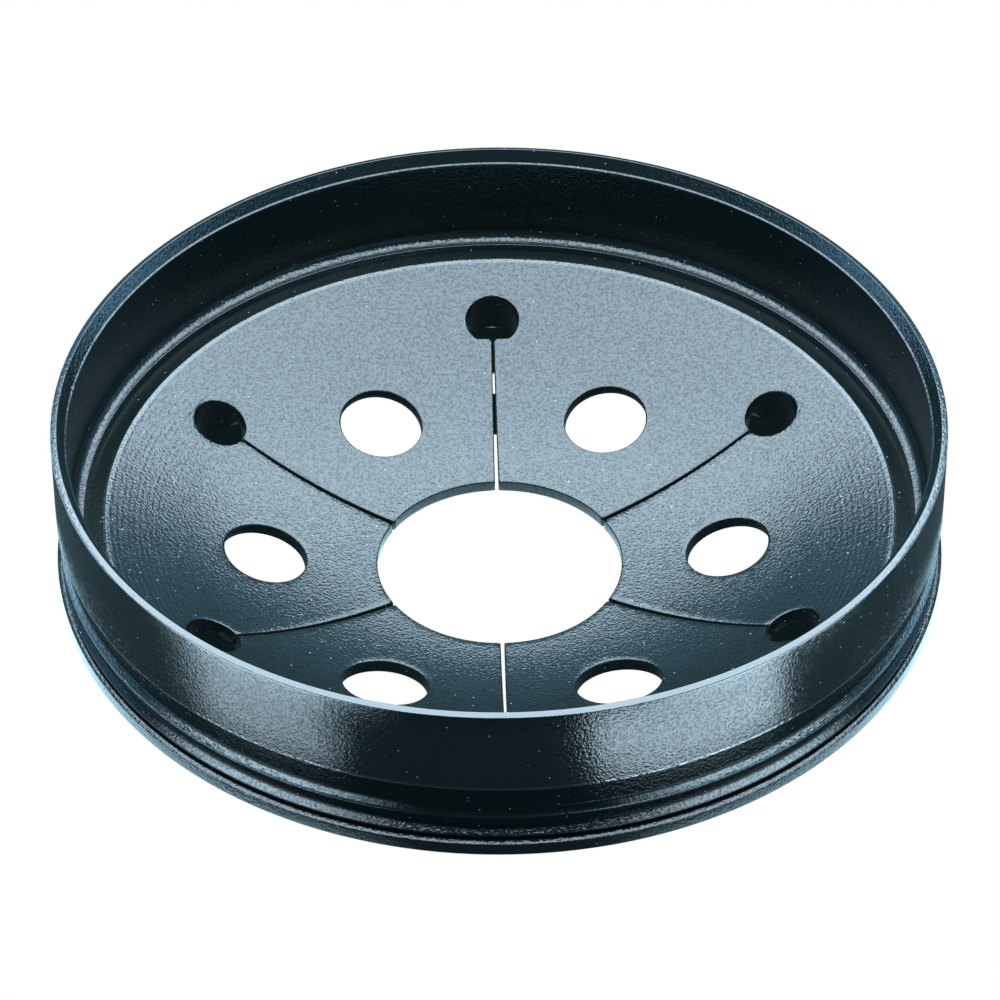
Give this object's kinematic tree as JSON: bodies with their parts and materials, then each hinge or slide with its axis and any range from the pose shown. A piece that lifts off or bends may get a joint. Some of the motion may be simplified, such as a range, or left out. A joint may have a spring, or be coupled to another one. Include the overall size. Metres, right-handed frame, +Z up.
{
  "type": "disposer splash guard",
  "caption": "Round rubber splash guard for a sink drain throat: an open-topped ribbed collar whose dished floor is slit into bending flaps around a centre opening.",
  "frame": {"origin": "on the guard's axis, in the plane of the rim at the open top", "axes": "+Z up out of the open rim, +X through the middle of the first flap's drain hole"},
  "size_m": [0.086, 0.086, 0.0201],
  "materials": {
    "black_rubber": "satin moulded"
  },
  "bodies": {
    "collar": {"collar": "black_rubber"},
    "flap_1": {"flap_1": "black_rubber"},
    "flap_2": {"flap_2": "black_rubber"},
    "flap_3": {"flap_3": "black_rubber"},
    "flap_4": {"flap_4": "black_rubber"},
    "flap_5": {"flap_5": "black_rubber"},
    "flap_6": {"flap_6": "black_rubber"}
  },
  "joints": [
    {"name": "flap_1_bend", "type": "hinge", "parent": "collar", "child": "flap_1", "pos_m": [0.02745, 0, -0.01632], "axis": [0, -1, 0], "range_deg": [-6, 75], "stiffness_Nm_per_rad": 0.002},
    {"name": "flap_2_bend", "type": "hinge", "parent": "collar", "child": "flap_2", "pos_m": [0.01373, 0.02378, -0.01632], "axis": [0.866, -0.5, 0], "range_deg": [-6, 75], "stiffness_Nm_per_rad": 0.002},
    {"name": "flap_3_bend", "type": "hinge", "parent": "collar", "child": "flap_3", "pos_m": [-0.01373, 0.02378, -0.01632], "axis": [0.866, 0.5, 0], "range_deg": [-6, 75], "stiffness_Nm_per_rad": 0.002},
    {"name": "flap_4_bend", "type": "hinge", "parent": "collar", "child": "flap_4", "pos_m": [-0.02745, 0, -0.01632], "axis": [0, 1, 0], "range_deg": [-6, 75], "stiffness_Nm_per_rad": 0.002},
    {"name": "flap_5_bend", "type": "hinge", "parent": "collar", "child": "flap_5", "pos_m": [-0.01373, -0.02378, -0.01632], "axis": [-0.866, 0.5, 0], "range_deg": [-6, 75], "stiffness_Nm_per_rad": 0.002},
    {"name": "flap_6_bend", "type": "hinge", "parent": "collar", "child": "flap_6", "pos_m": [0.01373, -0.02378, -0.01632], "axis": [-0.866, -0.5, 0], "range_deg": [-6, 75], "stiffness_Nm_per_rad": 0.002}
  ]
}
